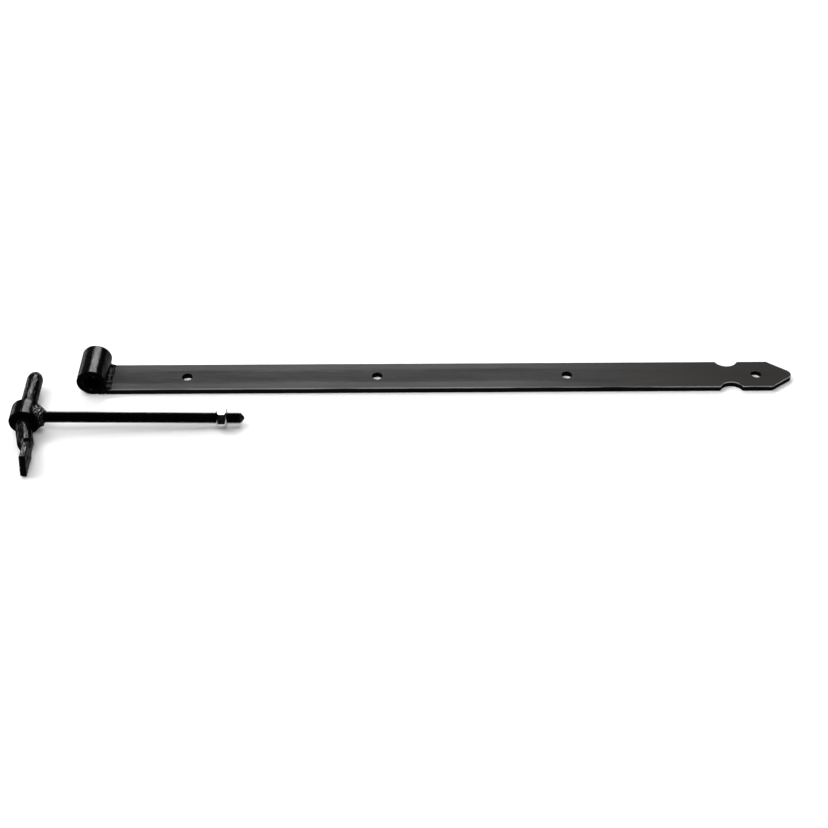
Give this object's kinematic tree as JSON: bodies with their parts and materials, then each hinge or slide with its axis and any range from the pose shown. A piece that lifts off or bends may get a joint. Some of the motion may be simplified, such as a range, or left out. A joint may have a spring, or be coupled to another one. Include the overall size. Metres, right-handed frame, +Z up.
{
  "type": "hook and band hinge",
  "caption": "Hook and band gate hinge: a flat pointed strap with screw holes and a welded eye, and a pin in a collar with a bent spade leg, a threaded rod and a hex nut.",
  "frame": {"origin": "middle of the eye's bore", "axes": "+X along the strap from the eye to the point, +Y along the eye's bore, +Z up from the surface that both halves lie on"},
  "size_m": [0.7871, 0.1643, 0.03],
  "materials": {
    "band_black": "satin black paint on rolled steel",
    "hook_black": "gloss black paint on steel",
    "nut_zinc": "bright zinc plate"
  },
  "bodies": {
    "hinge_set": {"band_strap": "band_black", "band_eye": "band_black", "eye_weld": "band_black", "hook_collar": "hook_black", "hook_pintle": "hook_black", "threaded_rod": "hook_black", "rod_weld": "hook_black"},
    "nut": {"hex_nut": "nut_zinc"}
  },
  "joints": [
    {"name": "nut_travel", "type": "slide", "parent": "hinge_set", "child": "nut", "axis": [0.9995, 0.014, -0.0278], "range_m": [-0.169, 0.012]}
  ]
}
